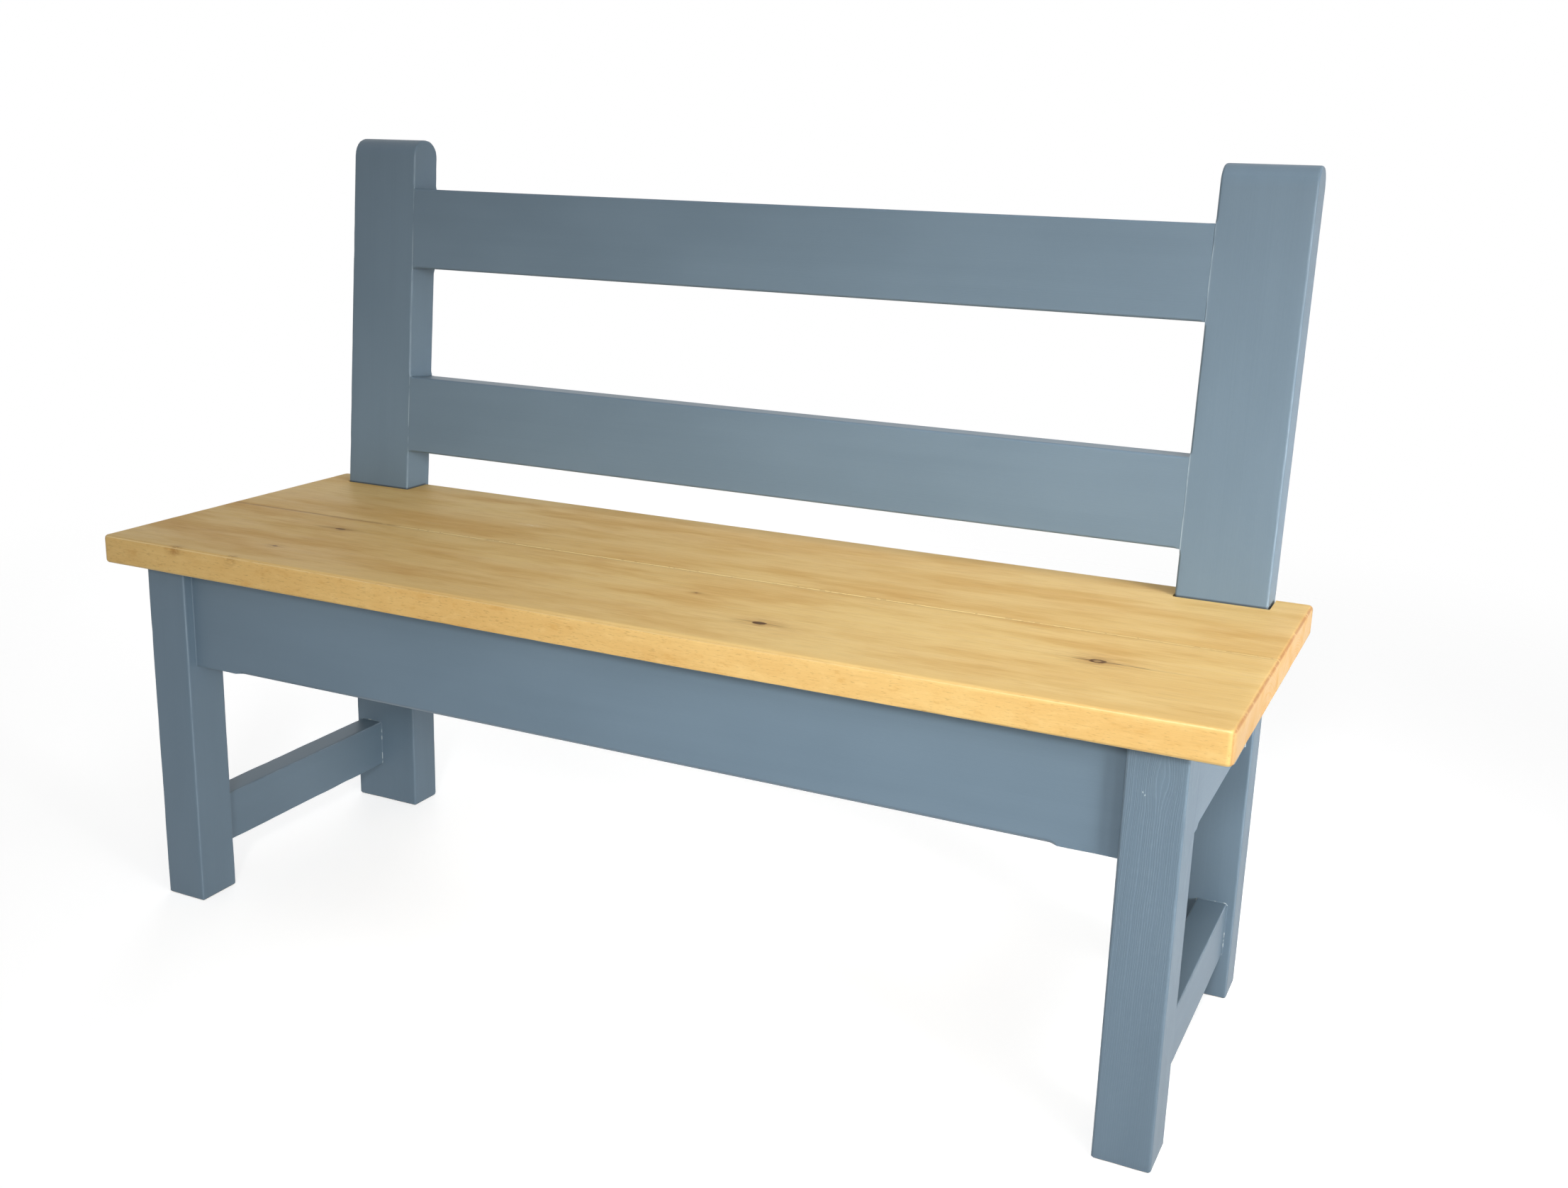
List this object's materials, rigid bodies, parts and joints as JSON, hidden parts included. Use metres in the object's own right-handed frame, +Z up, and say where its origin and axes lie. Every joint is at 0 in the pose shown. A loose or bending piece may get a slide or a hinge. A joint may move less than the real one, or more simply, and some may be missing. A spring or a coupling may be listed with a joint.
{
  "type": "monks bench",
  "caption": "Farmhouse hall bench with raked post back, plain back rails, overhanging pine plank seat, aprons with stopped chamfers and end stretchers, in painted frame.",
  "frame": {"origin": "Centre of the bounding box in plan, on the floor under the feet.", "axes": "+X runs along the seat to the sitter's left as they sit facing the front, +Y runs from the front edge towards the back, +Z is up. Left and right in the node names are as seen from in front of the bench."},
  "size_m": [1.282, 0.4818, 0.8971],
  "materials": {
    "blue_grey_paint": "brushed satin paint on softwood",
    "waxed_pine": "antique wax",
    "raw_pine": "bare sawn softwood",
    "zinc_screw": "yellow passivated zinc"
  },
  "bodies": {
    "root": {"front_left_leg": "blue_grey_paint", "front_right_leg": "blue_grey_paint", "rear_left_post": "blue_grey_paint", "rear_right_post": "blue_grey_paint", "left_stretcher": "blue_grey_paint", "right_stretcher": "blue_grey_paint", "top_back_rail": "blue_grey_paint", "lower_back_rail": "blue_grey_paint", "front_apron": "blue_grey_paint", "rear_apron": "blue_grey_paint", "left_side_apron": "blue_grey_paint", "right_side_apron": "blue_grey_paint", "front_seat_board": "waxed_pine", "rear_seat_board": "waxed_pine", "front_cleat": "raw_pine", "rear_cleat": "raw_pine", "left_cleat": "raw_pine", "right_cleat": "raw_pine", "seat_dowel_1": "raw_pine", "seat_dowel_2": "raw_pine", "seat_dowel_3": "raw_pine", "seat_dowel_4": "raw_pine", "seat_dowel_5": "raw_pine", "front_seat_screw_1": "zinc_screw", "front_seat_screw_2": "zinc_screw", "front_seat_screw_3": "zinc_screw", "front_seat_screw_4": "zinc_screw", "front_apron_screw_1": "zinc_screw", "front_apron_screw_2": "zinc_screw", "front_apron_screw_3": "zinc_screw", "rear_seat_screw_1": "zinc_screw", "rear_seat_screw_2": "zinc_screw", "rear_seat_screw_3": "zinc_screw", "rear_seat_screw_4": "zinc_screw", "rear_apron_screw_1": "zinc_screw", "rear_apron_screw_2": "zinc_screw", "rear_apron_screw_3": "zinc_screw", "left_seat_screw_1": "zinc_screw", "left_seat_screw_2": "zinc_screw", "left_apron_screw_1": "zinc_screw", "left_apron_screw_2": "zinc_screw", "right_seat_screw_1": "zinc_screw", "right_seat_screw_2": "zinc_screw", "right_apron_screw_1": "zinc_screw", "right_apron_screw_2": "zinc_screw"}
  },
  "joints": []
}
